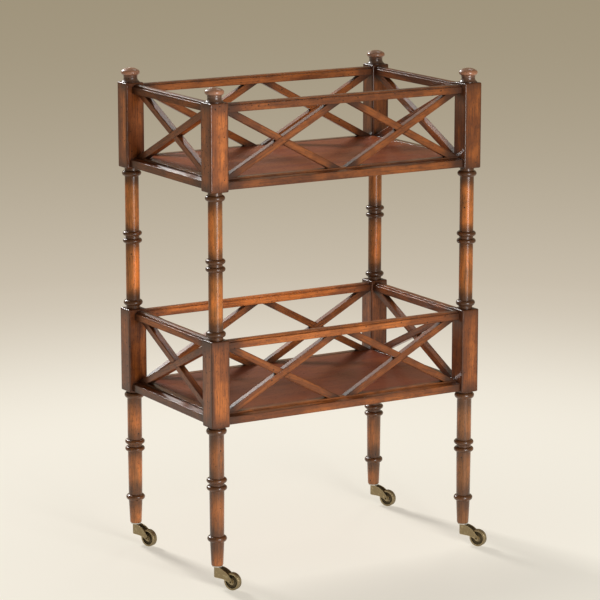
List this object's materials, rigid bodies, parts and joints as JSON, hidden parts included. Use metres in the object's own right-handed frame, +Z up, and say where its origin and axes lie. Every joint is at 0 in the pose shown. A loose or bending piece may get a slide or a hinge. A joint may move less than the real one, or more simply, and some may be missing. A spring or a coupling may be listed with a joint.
{
  "type": "serving cart",
  "caption": "Wooden serving cart with two trays of crossed lattice on turned corner legs, rolling on swivelling brass casters.",
  "frame": {"origin": "on the floor, under the middle of the four corner posts", "axes": "+X along the long side to the right, +Y from front to back, +Z up"},
  "size_m": [0.5691, 0.3776, 0.894],
  "materials": {
    "post_wood": "satin, reddish brown stain, darkened at the edges",
    "rail_wood": "satin, reddish brown stain",
    "slat_wood": "satin, reddish brown stain",
    "shelf_wood": "semi-gloss, reddish brown stain, grain along the length",
    "turned_wood": "satin, reddish brown stain, darkened at the rings",
    "horn_brass": "antique, dull",
    "wheel_brass": "antique, dull, dark in the recesses",
    "axle_brass": "antique, worn bright",
    "socket_steel": "plated, bright",
    "screw_steel": "plain"
  },
  "bodies": {
    "frame": {"upper_post_front_left": "post_wood", "upper_post_front_right": "post_wood", "upper_post_back_left": "post_wood", "upper_post_back_right": "post_wood", "upper_top_rail_front": "rail_wood", "upper_bottom_rail_front": "rail_wood", "upper_lattice_front": "slat_wood", "upper_top_rail_right": "rail_wood", "upper_bottom_rail_right": "rail_wood", "upper_lattice_right": "slat_wood", "upper_top_rail_back": "rail_wood", "upper_bottom_rail_back": "rail_wood", "upper_lattice_back": "slat_wood", "upper_top_rail_left": "rail_wood", "upper_bottom_rail_left": "rail_wood", "upper_lattice_left": "slat_wood", "upper_shelf": "shelf_wood", "lower_post_front_left": "post_wood", "lower_post_front_right": "post_wood", "lower_post_back_left": "post_wood", "lower_post_back_right": "post_wood", "lower_top_rail_front": "rail_wood", "lower_bottom_rail_front": "rail_wood", "lower_lattice_front": "slat_wood", "lower_top_rail_right": "rail_wood", "lower_bottom_rail_right": "rail_wood", "lower_lattice_right": "slat_wood", "lower_top_rail_back": "rail_wood", "lower_bottom_rail_back": "rail_wood", "lower_lattice_back": "slat_wood", "lower_top_rail_left": "rail_wood", "lower_bottom_rail_left": "rail_wood", "lower_lattice_left": "slat_wood", "lower_shelf": "shelf_wood", "spindle_front_left": "turned_wood", "lower_leg_front_left": "turned_wood", "finial_front_left": "turned_wood", "spindle_front_right": "turned_wood", "lower_leg_front_right": "turned_wood", "finial_front_right": "turned_wood", "spindle_back_left": "turned_wood", "lower_leg_back_left": "turned_wood", "finial_back_left": "turned_wood", "spindle_back_right": "turned_wood", "lower_leg_back_right": "turned_wood", "finial_back_right": "turned_wood", "dowel_screws": "screw_steel", "caster_sockets": "socket_steel"},
    "caster_front_left": {"caster_fork_front_left": "horn_brass", "caster_axle_front_left": "axle_brass"},
    "wheel_front_left": {"caster_wheel_front_left": "wheel_brass"},
    "caster_front_right": {"caster_fork_front_right": "horn_brass", "caster_axle_front_right": "axle_brass"},
    "wheel_front_right": {"caster_wheel_front_right": "wheel_brass"},
    "caster_back_left": {"caster_fork_back_left": "horn_brass", "caster_axle_back_left": "axle_brass"},
    "wheel_back_left": {"caster_wheel_back_left": "wheel_brass"},
    "caster_back_right": {"caster_fork_back_right": "horn_brass", "caster_axle_back_right": "axle_brass"},
    "wheel_back_right": {"caster_wheel_back_right": "wheel_brass"}
  },
  "joints": [
    {"name": "caster_swivel_front_left", "type": "hinge", "parent": "frame", "child": "caster_front_left", "pos_m": [-0.262, -0.157, 0.04], "axis": [0, 0, 1], "continuous": true},
    {"name": "wheel_spin_front_left", "type": "hinge", "parent": "caster_front_left", "child": "wheel_front_left", "pos_m": [-0.24707, -0.18629, 0.01588], "axis": [-0.891, -0.454, 0], "continuous": true},
    {"name": "caster_swivel_front_right", "type": "hinge", "parent": "frame", "child": "caster_front_right", "pos_m": [0.262, -0.157, 0.04], "axis": [0, 0, 1], "continuous": true},
    {"name": "wheel_spin_front_right", "type": "hinge", "parent": "caster_front_right", "child": "wheel_front_right", "pos_m": [0.27743, -0.18603, 0.01588], "axis": [-0.8829, -0.4695, 0], "continuous": true},
    {"name": "caster_swivel_back_left", "type": "hinge", "parent": "frame", "child": "caster_back_left", "pos_m": [-0.262, 0.157, 0.04], "axis": [0, 0, 1], "continuous": true},
    {"name": "wheel_spin_back_left", "type": "hinge", "parent": "caster_back_left", "child": "wheel_back_left", "pos_m": [-0.25076, 0.12611, 0.01588], "axis": [-0.9397, -0.342, 0], "continuous": true},
    {"name": "caster_swivel_back_right", "type": "hinge", "parent": "frame", "child": "caster_back_right", "pos_m": [0.262, 0.157, 0.04], "axis": [0, 0, 1], "continuous": true},
    {"name": "wheel_spin_back_right", "type": "hinge", "parent": "caster_back_right", "child": "wheel_back_right", "pos_m": [0.27692, 0.12771, 0.01588], "axis": [-0.891, -0.454, 0], "continuous": true}
  ]
}
